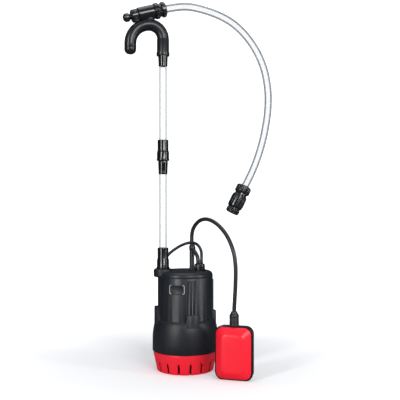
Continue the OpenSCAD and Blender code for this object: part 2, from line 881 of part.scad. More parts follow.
module connector_a_body() {
    color("#16171a") in_valve(body_end + play) difference() {
        union() {
            cylinder(d = inner_d, h = nut_a_start - body_end - play);
            translate([0, 0, nut_a_start - body_end - play - 1])
                cylinder(d = inner_d - 4, h = nut_a_len - 3);
        }
        translate([0, 0, -1]) cylinder(d = nipple_d + 2 * fit, h = nipple_len + 1);
        cylinder(d = seat_d, h = 60);
    }
}

module connector_a_nut() {
    color("#0f1012") in_valve(nut_a_start + face) difference() {
        union() {
            pill(nut_d - 1.5, nut_a_len, 3);
            translate([0, 0, 2.5]) grips(nut_d - 2, 14, 3, nut_a_len - 5);
        }
        translate([0, 0, -1]) cylinder(d = inner_d - 4 + 2 * fit, h = nut_a_len - 3);
        cylinder(d = hose_d + 0.6, h = 60);
    }
}

module collar_a() {
    color("#1d1f23") in_valve(collar_a_start) difference() {
        union() {
            pill(collar_d - 1, collar_a_len, 2.5);
            translate([0, 0, 3]) grips(collar_d - 1.6, 12, 3, collar_a_len - 6);
        }
        translate([0, 0, -1]) cylinder(d = inner_d + 2 * fit, h = 60);
    }
}

module outlet_hose() {
    color("gainsboro") sweep([for (p = HOSE_ROUTE) [p[0], 0, p[1]]], hose_d, 12, [0, 1, 0]);
}

module connector_b_nut() {
    color("#0f1012") in_outlet(0) difference() {
        union() {
            pill(nut_b_d - 3, nut_b_len, 4);
            translate([0, 0, 3]) grips(nut_b_d - 4, 12, 4, nut_b_len - 6);
        }
        translate([0, 0, -1]) cylinder(d = hose_d + 0.8, h = 20);
        translate([0, 0, hose_in + 2]) cylinder(d = inner_d + 2 * fit, h = 20);
    }
}

// Barb side of the connector, with the narrow waterway
module connector_b_body() {
    color("#1a1b1f") in_outlet(hose_in + 2.5)
        pipe(inner_d, seat_d, mouth_end - mouth_deep - face - hose_in - 2.5);
}

// Socket side of the connector, with the bore that takes the nipple
module connector_b_socket() {
    color("#1a1b1f") in_outlet(mouth_end - mouth_deep) difference() {
        union() {
            cylinder(d = inner_d, h = mouth_deep - ring_b_len);
            cylinder(d = inner_d - 4, h = mouth_deep - play);
        }
        translate([0, 0, -1]) cylinder(d = mouth_d, h = mouth_deep + 2);
    }
}

module connector_b_ring() {
    color("#202226") in_outlet(ring_b_start + face) difference() {
        union() {
            pill(ring_b_d - 1.6, ring_b_len - face, 1.5);
            translate([0, 0, 3]) grips(ring_b_d - 2.4, 20, 2.4, ring_b_len - 6);
        }
        translate([0, 0, -1]) cylinder(d = inner_d - 4 + 2 * fit, h = 60);
    }
}

module collar_b() {
    color("#1d1f23") in_outlet(collar_b_start) difference() {
        union() {
            pill(collar_d - 1, collar_len, 3);
            translate([0, 0, 6]) grips(collar_d - 1.6, 12, 3, collar_len - 12);
        }
        translate([0, 0, -1]) cylinder(d = inner_d + 2 * fit, h = 100);
    }
}

// ---------- float switch ----------

// Half shell of the float; s is -1 for the front, +1 for the back
module float_half(t, s, inset, rise) {
    hull() {
        rotate([90, 0, 0]) translate([0, float_h / 2, s < 0 ? 0 : -t + rise])
            linear_extrude(t - rise) rounded(float_w, float_h, 17, $fn = 32);
        rotate([90, 0, 0]) translate([0, float_h / 2, s < 0 ? 0 : -t])
            linear_extrude(t) rounded(float_w - 2 * inset, float_h - 2 * inset, 12, $fn = 32);
    }
}

module float_front_shell() {
    color("red") in_float() translate([0, float_seam, 0]) difference() {
        float_half(float_front, -1, bevel_in, bevel_rise);
        translate([0, 0, float_h / 2]) rotate([90, 0, 0]) translate([0, 0, -1])
            linear_extrude(float_front - bevel_rise + 1.5)
                rounded(float_w - 2 * float_wall, float_h - 2 * float_wall, 15);
        translate([0, 0, float_h / 2]) rotate([90, 0, 0]) linear_extrude(float_front - float_wall)
            rounded(float_w - 2.5 * bevel_in, float_h - 2.5 * bevel_in, 10);
    }
}

module float_back_shell() {
    color("#141517") in_float() translate([0, float_seam + face, 0]) difference() {
        union() {
            float_half(float_back, 1, 10, 9);
            translate([0, 0, float_h / 2]) rotate([-90, 0, 0]) linear_extrude(5)
                rounded(float_w + 3, float_h + 0.01, 18);
        }
        translate([0, 0, float_h / 2]) rotate([-90, 0, 0]) translate([0, 0, -1])
            linear_extrude(float_back - 8)
                rounded(float_w - 2 * float_wall, float_h - 2 * float_wall, 15);
    }
}

module float_boot() {
    color("#101113") in_float() translate([0, 0, float_h + face]) difference() {
        union() {
            cylinder(d = boot_d, h = 15);
            translate([0, 0, 15]) cylinder(d1 = boot_d, d2 = float_lead_d + 5, h = boot_h - 15);
        }
        translate([0, 0, 12]) cylinder(d = float_lead_d + 0.6, h = 60);
    }
}

module float_switch() {
    color("#5b6068") in_float() translate([-14, -5, 62]) difference() {
        cube([28, 13, 34]);
        translate([8.5, 6.5, -1]) cylinder(d = 9, h = 22);
    }
}

module switch_ball() {
    color("silver") in_float() translate([-5.5, 1.5, 68]) sphere(d = 8.6);
}

module float_cable() {
    c = cos(float_turn);
    s = sin(float_turn);
    color("#1b1c1f") sweep([for (p = FLOAT_ROUTE) [clip_x + p[0] * c, clip_y + p[0] * s, p[1]]],
        float_lead_d, 10, [-s, c, 0]);
}

module float_cable_lead() {
    color("#1b1c1f") sweep(FLOAT_LEAD, float_lead_d, 10, [1, 0, 0]);
}

// ---------- mains lead ----------

module power_cable() {
    color("#18191b") {
        sweep(LEAD, lead_d, 10, [1, 0, 0]);
        sweep(TAIL, lead_d, 10, [0, 0, 1]);
    }
}

module power_cable_coil() {
    w = coil_cols * turn;
    h = coil_rows * turn;
    color("#18191b") translate([coil_x, coil_y, 0]) rotate_extrude()
        translate([coil_d / 2, h / 2]) rounded(w, h, 3);
}

module at_plug() {
    translate([plug_tail_x, plug_y, plug_z]) rotate([0, 90, 0]) children();
}

module power_plug() {
    color("#151618") at_plug() difference() {
        union() {
            cylinder(d1 = lead_d + 4, d2 = 17, h = plug_tail_len);
            translate([0, 0, plug_tail_len - 4]) pill(mains_plug_d, mains_plug_len, 4);
        }
        translate([0, 0, -1]) cylinder(d = lead_d + 0.4, h = 12);
        for (s = [-1, 1]) translate([0, s * pin_gap / 2, plug_face - stem_deep])
            cylinder(d = pin_d - 0.8 + 2 * fit, h = 40);
    }
}

module plug_pins() {
    color("silver") at_plug() for (s = [-1, 1]) translate([0, s * pin_gap / 2, plug_face + face]) {
        translate([0, 0, -stem_deep]) cylinder(d = pin_d - 0.8, h = stem_deep);
        cylinder(d = pin_d, h = pin_len - 1);
        translate([0, 0, pin_len - 1]) cylinder(d1 = pin_d, d2 = pin_d - 1.6, h = 1);
    }
}

// ---------- rotor ----------

module motor_shaft() {
    color("silver") translate([0, 0, shaft_bottom]) cylinder(d = shaft_d, h = shaft_top - shaft_bottom);
}

module rotor_core() {
    color("#9aa0a8") translate([0, 0, stator_z]) pipe(rotor_d, shaft_d + 2 * fit, stator_h);
}

module impeller() {
    color("#e8e2d0") translate([0, 0, impeller_z]) difference() {
        union() {
            translate([0, 0, impeller_h - 3]) cylinder(d = impeller_d, h = 3);
            cylinder(d = shaft_d + 7, h = impeller_h);
            for (i = [0 : blade_count - 1]) rotate(i * 360 / blade_count)
                intersection() {
                    translate([shaft_d / 2 + 12, 12, 0]) pipe(48, 44, impeller_h);
                    translate([0, -30, 0]) cube([impeller_d / 2 - 1, 40, impeller_h]);
                    cylinder(d = impeller_d, h = impeller_h);
                }
        }
        translate([0, 0, -1]) cylinder(d = shaft_d + 2 * fit, h = impeller_h + 2);
    }
}

strainer_base();
base_plate();
pump_housing();
top_cover();
housing_screws();
motor_seal();
volute();
suction_plate();
bearing_carrier();
motor_casing();
lower_bearing();
upper_bearing();
shaft_seal();
stator_core();
stator_windings();
capacitor();
discharge_pipe();
discharge_seal();
cable_gland_nut();
cable_gland_seal();
cable_post();
cable_clip();
label_badge();
lower_riser_bell();
lower_riser_tube();
lower_riser_spigot();
upper_riser_bell();
upper_riser_tube();
upper_riser_spigot();
riser_seals();
power_cable();
power_cable_coil();
power_plug();
plug_pins();
float_cable_lead();
motor_shaft();
rotor_core();
impeller();
hook_bend();
hook_end_cap();
valve_body();
valve_bonnet();
valve_knob();
valve_spindle();
valve_plug();
connector_a_body();
connector_a_nut();
collar_a();
outlet_hose();
connector_b_nut();
connector_b_body();
connector_b_socket();
connector_b_ring();
collar_b();
float_front_shell();
float_back_shell();
float_boot();
float_switch();
switch_ball();
float_cable();
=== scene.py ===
# %% [markdown]
# # A rain-barrel pump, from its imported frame
# The pump stands on its strainer. A riser of two clear tubes carries the water up to a hook that
# hangs over the barrel's rim, and a clear hose with click connectors leads it out. A float switch
# hangs on its own cable beside the pump. Everything that fits or moves comes from the frame, in
# metres. This script adds the looks: the bending cords, the moulded float, finishes and light.

# %% Load the frame
import math

import bmesh
import bpy
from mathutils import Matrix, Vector


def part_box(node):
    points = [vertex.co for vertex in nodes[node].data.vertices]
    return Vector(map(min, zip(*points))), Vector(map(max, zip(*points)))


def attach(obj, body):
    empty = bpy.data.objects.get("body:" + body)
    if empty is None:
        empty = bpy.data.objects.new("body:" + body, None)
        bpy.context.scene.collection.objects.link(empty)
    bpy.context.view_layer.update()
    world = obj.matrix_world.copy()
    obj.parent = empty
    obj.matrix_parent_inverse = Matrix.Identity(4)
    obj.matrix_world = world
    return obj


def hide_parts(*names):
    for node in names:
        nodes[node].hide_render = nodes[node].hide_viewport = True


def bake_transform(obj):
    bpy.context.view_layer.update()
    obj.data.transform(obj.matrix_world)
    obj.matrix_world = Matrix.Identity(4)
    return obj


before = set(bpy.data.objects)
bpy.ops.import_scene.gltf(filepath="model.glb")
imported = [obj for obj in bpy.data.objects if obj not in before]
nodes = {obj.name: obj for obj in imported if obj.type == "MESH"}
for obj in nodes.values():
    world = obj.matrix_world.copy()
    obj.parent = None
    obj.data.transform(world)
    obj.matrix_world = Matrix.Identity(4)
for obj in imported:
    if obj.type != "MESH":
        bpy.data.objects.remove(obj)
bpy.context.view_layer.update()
MM = 0.001

# %% [markdown]
# ## Camera
# A camera that looks level keeps upright lines upright. It stands at about half the height of the
# pump, a little to the left, and well back with a long lens, which keeps the proportions calm.
# Tilting it down from above would make the riser lean, so its height does that work instead.

# %% Camera
VIEW_TURN = math.radians(-15)
CAMERA_DISTANCE = 1.570
CAMERA_HEIGHT = 0.392
CAMERA_ASIDE = 0.0342
LENS = 60.7
SENSOR = 36

forward = Vector((-math.sin(VIEW_TURN), math.cos(VIEW_TURN), 0))
right = Vector((forward.y, -forward.x, 0))
camera = bpy.data.objects.new("camera", bpy.data.cameras.new("camera"))
camera.data.lens = LENS
camera.data.sensor_width = SENSOR
camera.location = right * CAMERA_ASIDE - forward * CAMERA_DISTANCE + Vector((0, 0, CAMERA_HEIGHT))
camera.rotation_euler = (math.pi / 2, 0, VIEW_TURN)
bpy.context.scene.collection.objects.link(camera)
bpy.context.scene.camera = camera
print("camera at", [round(v, 3) for v in camera.location])

# %% [markdown]
# ## Small helpers
# A cord is a smooth line through a few chosen points. A Catmull-Rom curve passes through every
# point and leaves no corner, so it is the natural choice for a listed route.

# %% Points to a smooth line
def smooth_line(points, step):
    points = [Vector(p) for p in points]
    ends = [points[0] * 2 - points[1]] + points + [points[-1] * 2 - points[-2]]
    line = []
    for a, b, c, d in zip(ends, ends[1:], ends[2:], ends[3:]):
        count = max(1, round((c - b).length / step))
        for i in range(count):
            t = i / count
            line.append(0.5 * (2 * b + (c - a) * t + (2 * a - 5 * b + 4 * c - d) * t * t
                               + (3 * b - a - 3 * c + d) * t ** 3))
    return line + [points[-1]]


def length_of(line):
    return sum((b - a).length for a, b in zip(line, line[1:]))


# %% [markdown]
# Most pieces here are rings of points joined by quads. A tube carries one ring along a line, turned
# as little as possible from point to point, which keeps its quads straight and its shading calm. A
# lathe stacks round rings, and a loft stacks outlines. A curve object with a bevel would be quicker
# for the cords, but it gives no bore and less say over where the quads lie.

# %% Tubes, lathes and lofts
def add_object(name, mesh, body=None, material=None):
    piece = bpy.data.objects.new(name, mesh)
    bpy.context.scene.collection.objects.link(piece)
    if material:
        mesh.materials.append(material)
    for face in mesh.polygons:
        face.use_smooth = True
    if body:
        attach(piece, body)
    return piece


def loops_to_mesh(name, loops, close_start=True, close_end=True, join_ends=False):
    mesh = bpy.data.meshes.new(name)
    bm = bmesh.new()
    rings = [[bm.verts.new(p) for p in loop] for loop in loops]
    bands = list(zip(rings, rings[1:]))
    if join_ends:
        bands.append((rings[-1], rings[0]))
    for one, two in bands:
        for i in range(len(one)):
            j = (i + 1) % len(one)
            bm.faces.new((one[i], one[j], two[j], two[i]))
    if close_start:
        bm.faces.new(list(reversed(rings[0])))
    if close_end:
        bm.faces.new(rings[-1])
    bmesh.ops.recalc_face_normals(bm, faces=bm.faces)
    bm.to_mesh(mesh)
    bm.free()
    return mesh


def rings_along(line, radius, sides):
    tangents = [(line[min(i + 1, len(line) - 1)] - line[max(i - 1, 0)]).normalized()
                for i in range(len(line))]
    side = tangents[0].orthogonal().normalized()
    rings = []
    for point, tangent in zip(line, tangents):
        side = (side - tangent * side.dot(tangent)).normalized()
        other = tangent.cross(side)
        rings.append([point + radius * (math.cos(a) * side + math.sin(a) * other)
                      for a in (2 * math.pi * k / sides for k in range(sides))])
    return rings


def tube(name, line, radius, sides, bore=0):
    rings = rings_along(line, radius, sides)
    if bore:
        inner = rings_along(line, bore, sides)
        return loops_to_mesh(name, rings + inner[::-1], False, False, join_ends=True)
    return loops_to_mesh(name, rings)


def lathe(name, profile, sides, close_start=True, close_end=True):
    loops = [[Vector((r * math.cos(a), r * math.sin(a), z))
              for a in (2 * math.pi * k / sides for k in range(sides))] for r, z in profile]
    return loops_to_mesh(name, loops, close_start, close_end)


print("helpers ready")

# %% [markdown]
# ## Shader groups
# Moulded plastic is never one flat value. Three effects repeat on almost every finish here: the
# tone drifts a little over a moulding, a fine grain breaks up the highlight, and handling leaves
# faint marks in the gloss. Each is one node group with its own inputs, so a material only states
# how strong it wants the effect.

# %% Node group helper
def make_group(name, inputs, outputs):
    tree = bpy.data.node_groups.new(name, "ShaderNodeTree")
    for label, kind, value in inputs:
        socket = tree.interface.new_socket(label, in_out="INPUT", socket_type=kind)
        socket.default_value = value
    for label, kind in outputs:
        tree.interface.new_socket(label, in_out="OUTPUT", socket_type=kind)
    return tree, tree.nodes.new("NodeGroupInput"), tree.nodes.new("NodeGroupOutput")


def node_in(tree, kind, **settings):
    made = tree.nodes.new(kind)
    for key, value in settings.items():
        setattr(made, key, value)
    return made


def noise_in(tree, scale_from, detail, stretch=(1, 1, 1)):
    place = node_in(tree, "ShaderNodeTexCoord")
    shape = node_in(tree, "ShaderNodeMapping")
    shape.inputs["Scale"].default_value = stretch
    noise = node_in(tree, "ShaderNodeTexNoise")
    noise.inputs["Detail"].default_value = detail
    tree.links.new(place.outputs["Object"], shape.inputs["Vector"])
    tree.links.new(shape.outputs["Vector"], noise.inputs["Vector"])
    tree.links.new(scale_from, noise.inputs["Scale"])
    return noise


# %% Tone drift: two close colours mixed by slow noise
tone_drift, start, end = make_group(
    "tone_drift",
    [("Base", "NodeSocketColor", (0.5, 0.5, 0.5, 1)),
     ("Shade", "NodeSocketColor", (0.4, 0.4, 0.4, 1)),
     ("Scale", "NodeSocketFloat", 12.0)],
    [("Color", "NodeSocketColor")])
noise = noise_in(tone_drift, start.outputs["Scale"], 3)
mix = node_in(tone_drift, "ShaderNodeMix", data_type="RGBA")
tone_drift.links.new(noise.outputs["Fac"], mix.inputs["Factor"])
tone_drift.links.new(start.outputs["Base"], mix.inputs["A"])
tone_drift.links.new(start.outputs["Shade"], mix.inputs["B"])
tone_drift.links.new(mix.outputs["Result"], end.inputs["Color"])

# %% Moulded grain: a fine even texture, as from a spark-eroded mould
moulded_grain, start, end = make_group(
    "moulded_grain", [("Scale", "NodeSocketFloat", 1400.0)], [("Height", "NodeSocketFloat")])
noise = noise_in(moulded_grain, start.outputs["Scale"], 2)
moulded_grain.links.new(noise.outputs["Fac"], end.inputs["Height"])

# %% Handling marks: the roughness wanders between two values
handling_marks, start, end = make_group(
    "handling_marks",
    [("Low", "NodeSocketFloat", 0.3), ("High", "NodeSocketFloat", 0.45),
     ("Scale", "NodeSocketFloat", 30.0)],
    [("Roughness", "NodeSocketFloat")])
noise = noise_in(handling_marks, start.outputs["Scale"], 5, (1, 1, 0.5))
spread = node_in(handling_marks, "ShaderNodeMapRange")
spread.inputs["From Min"].default_value = 0.35
spread.inputs["From Max"].default_value = 0.7
handling_marks.links.new(noise.outputs["Fac"], spread.inputs["Value"])
handling_marks.links.new(start.outputs["Low"], spread.inputs["To Min"])
handling_marks.links.new(start.outputs["High"], spread.inputs["To Max"])
handling_marks.links.new(spread.outputs["Result"], end.inputs["Roughness"])

# %% Edge rub: corners lose their gloss first, where hands and crates touch them
edge_rub, start, end = make_group(
    "edge_rub", [("Strength", "NodeSocketFloat", 0.5), ("Scale", "NodeSocketFloat", 90.0)],
    [("Mask", "NodeSocketFloat")])
round_normal = node_in(edge_rub, "ShaderNodeBevel", samples=4)
round_normal.inputs["Radius"].default_value = 0.0009
geometry = node_in(edge_rub, "ShaderNodeNewGeometry")
facing = node_in(edge_rub, "ShaderNodeVectorMath", operation="DOT_PRODUCT")
edge_rub.links.new(round_normal.outputs["Normal"], facing.inputs[0])
edge_rub.links.new(geometry.outputs["Normal"], facing.inputs[1])
edge = node_in(edge_rub, "ShaderNodeMapRange")
edge.inputs["From Min"].default_value = 0.99
edge.inputs["From Max"].default_value = 0.85
edge_rub.links.new(facing.outputs["Value"], edge.inputs["Value"])
noise = noise_in(edge_rub, start.outputs["Scale"], 4)
worn = node_in(edge_rub, "ShaderNodeMath", operation="MULTIPLY")
edge_rub.links.new(edge.outputs["Result"], worn.inputs[0])
edge_rub.links.new(noise.outputs["Fac"], worn.inputs[1])
scaled = node_in(edge_rub, "ShaderNodeMath", operation="MULTIPLY", use_clamp=True)
edge_rub.links.new(worn.outputs["Value"], scaled.inputs[0])
edge_rub.links.new(start.outputs["Strength"], scaled.inputs[1])
edge_rub.links.new(scaled.outputs["Value"], end.inputs["Mask"])
print("groups:", [g.name for g in bpy.data.node_groups])

# %% [markdown]
# ## Moulded finishes
# Every moulded piece uses the same recipe with its own values: colour from the tone drift, a
# little lighter on rubbed edges, roughness from the handling marks, grain into a bump. Numbers
# that don't vary sit on the shader's own sockets.

# %% Moulded plastic and rubber
def place(tree, group, **values):
    made = tree.nodes.new("ShaderNodeGroup")
    made.node_tree = group
    for key, value in values.items():
        made.inputs[key].default_value = value
    return made


def moulded(name, base, shade, edge_tint, low, high, grain, depth,
            specular=0.5, coat=0.0, drift=12.0, rub=0.6):
    material = bpy.data.materials.new(name)
    material.use_nodes = True
    tree = material.node_tree
    shader = tree.nodes["Principled BSDF"]
    shader.inputs["Specular IOR Level"].default_value = specular
    shader.inputs["Coat Weight"].default_value = coat
    shader.inputs["Coat Roughness"].default_value = 0.12
    tone = place(tree, tone_drift, Base=(*base, 1), Shade=(*shade, 1), Scale=drift)
    rubbed = place(tree, edge_rub, Strength=rub)
    mix = node_in(tree, "ShaderNodeMix", data_type="RGBA")
    mix.inputs["B"].default_value = (*edge_tint, 1)
    tree.links.new(tone.outputs["Color"], mix.inputs["A"])
    tree.links.new(rubbed.outputs["Mask"], mix.inputs["Factor"])
    tree.links.new(mix.outputs["Result"], shader.inputs["Base Color"])
    marks = place(tree, handling_marks, Low=low, High=high)
    tree.links.new(marks.outputs["Roughness"], shader.inputs["Roughness"])
    grains = place(tree, moulded_grain, Scale=grain)
    bump = node_in(tree, "ShaderNodeBump")
    bump.inputs["Strength"].default_value = depth
    bump.inputs["Distance"].default_value = 0.0003
    tree.links.new(grains.outputs["Height"], bump.inputs["Height"])
    tree.links.new(bump.outputs["Normal"], shader.inputs["Normal"])
    return material


red_plastic = moulded("red_plastic", (0.88, 0.008, 0.026), (0.80, 0.006, 0.020), (0.95, 0.10, 0.12),
                      0.30, 0.42, 1200, 0.08, specular=0.4, coat=0.1)
red_strainer = moulded("red_strainer", (0.86, 0.008, 0.026), (0.76, 0.006, 0.020), (0.95, 0.12, 0.14),
                       0.34, 0.46, 1500, 0.14, specular=0.4)
black_plastic = moulded("black_plastic", (0.0095, 0.0115, 0.0150), (0.0070, 0.0085, 0.0115),
                        (0.035, 0.040, 0.048), 0.36, 0.48, 1500, 0.22, specular=0.5)
black_gloss = moulded("black_gloss", (0.0050, 0.0056, 0.0068), (0.0036, 0.0042, 0.0052),
                      (0.030, 0.033, 0.038), 0.14, 0.24, 900, 0.04, specular=0.55, coat=0.25)
black_satin = moulded("black_satin", (0.0065, 0.0075, 0.0095), (0.0050, 0.0058, 0.0075),
                      (0.030, 0.033, 0.038), 0.27, 0.38, 1100, 0.10, specular=0.5)
cable_rubber = moulded("cable_rubber", (0.016, 0.018, 0.021), (0.011, 0.0125, 0.015),
                       (0.03, 0.032, 0.036), 0.32, 0.46, 2200, 0.12, specular=0.5, drift=25)
seal_rubber = moulded("seal_rubber", (0.008, 0.008, 0.008), (0.005, 0.005, 0.005),
                      (0.02, 0.02, 0.02), 0.5, 0.65, 1800, 0.3, specular=0.35)
nylon = moulded("nylon", (0.72, 0.68, 0.55), (0.64, 0.60, 0.47), (0.85, 0.82, 0.72),
                0.35, 0.5, 1300, 0.15)
badge_line = moulded("badge_line", (0.42, 0.44, 0.46), (0.36, 0.38, 0.40), (0.6, 0.6, 0.6),
                     0.3, 0.45, 1200, 0.1)
print("moulded finishes:", len(bpy.data.materials))

# %% [markdown]
# ## Metals
# Shaft, screws and pins are drawn and plated steel, the windings are copper wire and the motor's
# can is aluminium. One recipe with other colours serves them all: full metallic, a fine grain in
# the bump, and roughness that wanders a little, because bare metal is never evenly bright.

# %% Drawn metal
def drawn_metal(name, base, shade, low, high, scale, depth):
    material = bpy.data.materials.new(name)
    material.use_nodes = True
    tree = material.node_tree
    shader = tree.nodes["Principled BSDF"]
    shader.inputs["Metallic"].default_value = 1
    tone = place(tree, tone_drift, Base=(*base, 1), Shade=(*shade, 1), Scale=40)
    tree.links.new(tone.outputs["Color"], shader.inputs["Base Color"])
    marks = place(tree, handling_marks, Low=low, High=high, Scale=scale)
    tree.links.new(marks.outputs["Roughness"], shader.inputs["Roughness"])
    grains = place(tree, moulded_grain, Scale=scale * 8)
    bump = node_in(tree, "ShaderNodeBump")
    bump.inputs["Strength"].default_value = depth
    bump.inputs["Distance"].default_value = 0.0002
    tree.links.new(grains.outputs["Height"], bump.inputs["Height"])
    tree.links.new(bump.outputs["Normal"], shader.inputs["Normal"])
    return material


steel = drawn_metal("steel", (0.62, 0.63, 0.65), (0.55, 0.56, 0.58), 0.18, 0.34, 60, 0.10)
laminations = drawn_metal("laminations", (0.24, 0.25, 0.27), (0.18, 0.19, 0.21), 0.4, 0.6, 90, 0.3)
copper = drawn_metal("copper", (0.65, 0.26, 0.12), (0.52, 0.19, 0.08), 0.25, 0.4, 120, 0.4)
aluminium = drawn_metal("aluminium", (0.72, 0.73, 0.75), (0.64, 0.65, 0.67), 0.28, 0.42, 50, 0.12)
print("metals ready")

# %% [markdown]
# ## Clear tube
# The riser and the hose are clear plastic with a thin wall. A glance square on to the wall goes
# almost straight through; a grazing one crosses far more of it. So the plastic is nearly
# invisible in the middle of a tube and turns into a grey line on each of its sides. True
# refraction would need far more samples in a wall this thin, so the Alpha follows the grazing
# angle instead: Layer Weight's Facing is 0 square on to the surface and 1 along it.

# %% Clear plastic, its Alpha led by the grazing angle
def clear_plastic(name, base, shade, middle, side, low, high):
    material = bpy.data.materials.new(name)
    material.use_nodes = True
    tree = material.node_tree
    shader = tree.nodes["Principled BSDF"]
    shader.inputs["Specular IOR Level"].default_value = 0.6
    tone = place(tree, tone_drift, Base=(*base, 1), Shade=(*shade, 1), Scale=18)
    tree.links.new(tone.outputs["Color"], shader.inputs["Base Color"])
    marks = place(tree, handling_marks, Low=low, High=high, Scale=22)
    tree.links.new(marks.outputs["Roughness"], shader.inputs["Roughness"])
    graze = node_in(tree, "ShaderNodeLayerWeight")
    graze.inputs["Blend"].default_value = 0.5
    depth = node_in(tree, "ShaderNodeMapRange", interpolation_type="SMOOTHSTEP")
    depth.inputs["From Min"].default_value = 0.15
    depth.inputs["From Max"].default_value = 0.75
    depth.inputs["To Min"].default_value = middle
    depth.inputs["To Max"].default_value = side
    tree.links.new(graze.outputs["Facing"], depth.inputs["Value"])
    tree.links.new(depth.outputs["Result"], shader.inputs["Alpha"])
    return material


clear_pvc = clear_plastic("clear_pvc", (0.52, 0.56, 0.58), (0.46, 0.50, 0.52), 0.05, 0.80, 0.08, 0.16)
hose_pvc = clear_plastic("hose_pvc", (0.11, 0.13, 0.15), (0.085, 0.10, 0.12), 0.085, 0.97, 0.08, 0.16)
print("clear plastic ready")

# %% [markdown]
# ## Cords
# The three cords come first, because their length is fixed: the outlet hose, the float cable and
# ten metres of mains lead. Their routes are the same listed points as in the frame.

# %% Routes, in millimetres
HOSE_ROUTE = [(-51.2, 831.6), (-44.8, 833.4), (-34, 836.2), (-20, 839.2), (-4, 841.5), (12, 842),
              (30, 840), (51, 836), (73, 830), (97, 821), (120, 808), (141, 791), (160, 770),
              (176, 747), (188, 723), (197, 698), (202, 673), (205, 648), (205, 622), (203, 596),
              (199, 571), (194, 546), (187, 520), (177, 490), (165, 461), (152, 435), (146, 425),
              (142, 417.5)]
LEAD_ROUTE = [(36, -11, 244), (36, -11, 252), (37, -8, 263), (38, 0, 273), (37, 14, 282),
              (33, 28, 288), (26, 38, 290), (15, 47, 288), (3, 52, 283), (-10, 56, 275),
              (-23, 59, 265), (-32, 61, 254), (-37, 62, 241), (-38, 65, 224), (-38, 70, 200),
              (-37, 77, 170), (-36, 82, 140), (-36, 84, 110), (-36, 85, 80), (-36, 85, 52),
              (-36, 88, 31), (-36, 97, 14), (-35, 110, 5), (-34, 126, 3.6), (-33, 142, 3.6)]
TAIL_ROUTE = [(-16, 172, 48), (-9, 184, 56), (2, 193, 61), (14, 197, 62), (22, 198, 62),
              (26, 198, 62)]
FLOAT_LEAD_ROUTE = [(28, -9, 244), (28, -9, 252), (27, -5, 262), (23, 4, 272), (20, 11, 280),
                    (19, 14, 288)]
FLOAT_ROUTE = [(0, 290), (0, 302), (1, 312), (6, 325), (18, 337), (33, 345), (50, 348), (70, 346),
               (92, 338), (113, 325), (130, 309), (143, 290), (151, 272), (155, 252), (156, 232),
               (155, 204), (153, 178), (151.3, 158), (151, 148), (151, 138)]
FLOAT_TURN = math.radians(-66.5)
CLIP = Vector((19, 14, 0)) * MM
hose_low, hose_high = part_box("outlet_hose")
hose_d = hose_high.y - hose_low.y
print("hose diameter", round(hose_d * 1000, 2))

# %% [markdown]
# The hose is a real tube with a bore, so that a look through it meets two walls, as in the real
# one. It hangs from the valve's connector in one wide bow and ends in the free connector.

# %% Outlet hose
HOSE_BORE = 0.0065
HOSE_SIDES = 32
hose_line = smooth_line([Vector((x, 0, z)) * MM for x, z in HOSE_ROUTE], 0.004)
hose = add_object("hose", tube("hose", hose_line, hose_d / 2, HOSE_SIDES, HOSE_BORE),
                  "hose", hose_pvc)
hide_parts("outlet_hose")
print("hose length", round(length_of(hose_line), 3))

# %% [markdown]
# The float cable leaves the gland, is held by the clip on the post and arches over to the float.
# The clip is where it bends when the float rises; the part beyond the clip is one fixed tube that
# belongs to no body.

# %% Float cable
FLOAT_CABLE_D = 0.009
CABLE_SIDES = 20
out = Vector((math.cos(FLOAT_TURN), math.sin(FLOAT_TURN), 0))
lead_line = smooth_line([Vector(p) * MM for p in FLOAT_LEAD_ROUTE], 0.0025)
float_lead = add_object("float_lead", tube("float_lead", lead_line, FLOAT_CABLE_D / 2, CABLE_SIDES),
                        "pump", cable_rubber)
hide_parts("float_cable_lead")
float_line = smooth_line([CLIP + out * s * MM + Vector((0, 0, z * MM)) for s, z in FLOAT_ROUTE],
                         0.003)
float_cable = add_object("float_line", tube("float_line", float_line, FLOAT_CABLE_D / 2, CABLE_SIDES),
                         None, cable_rubber)
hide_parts("float_cable")
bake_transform(float_cable)
print("float cable", round(length_of(lead_line) + length_of(float_line), 3))

# %% [markdown]
# The mains lead runs up out of the gland, behind the riser and down to the floor, where the rest
# of its ten metres is wound into a neat coil close behind the pump: five turns side by side, layer
# upon layer. A loop lays the turns; each slides over to the next place in its last stretch. The
# plug lies at the end of the tail, on top of the coil.

# %% Mains lead with its coil
LEAD_D = 0.007
TURN = 0.0071
COIL_CENTRE = Vector((0.038, 0.158, 0))
COIL_RADIUS = 0.056
COIL_COLUMNS = 5
COIL_TURNS = 27
TURN_STEPS = 48
SLIDE_FROM = 0.8


def coil_place(turn):
    layer, step = divmod(turn, COIL_COLUMNS)
    column = step if layer % 2 == 0 else COIL_COLUMNS - 1 - step
    return COIL_RADIUS + (2 - column) * TURN, (layer + 0.5) * TURN


coil_line = []
for turn in range(COIL_TURNS):
    r0, z0 = coil_place(turn)
    r1, z1 = coil_place(turn + 1)
    for i in range(TURN_STEPS):
        t = i / TURN_STEPS
        slide = max(0, (t - SLIDE_FROM) / (1 - SLIDE_FROM))
        slide = slide * slide * (3 - 2 * slide)
        angle = math.pi - 2 * math.pi * t
        r = r0 + (r1 - r0) * slide
        z = z0 + (z1 - z0) * slide
        coil_line.append(COIL_CENTRE + Vector((r * math.cos(angle), r * math.sin(angle), z)))
last_r, last_z = coil_place(COIL_TURNS)
mains_route = smooth_line([Vector(p) * MM for p in LEAD_ROUTE] + [coil_line[0]], 0.004)[:-1]
tail_start = COIL_CENTRE + Vector((-last_r, 0, last_z))
tail = smooth_line([tail_start] + [Vector(p) * MM for p in TAIL_ROUTE], 0.004)
mains_line = mains_route + coil_line + tail
print("mains lead", round(length_of(mains_line), 3), "of which coil", round(length_of(coil_line), 3))

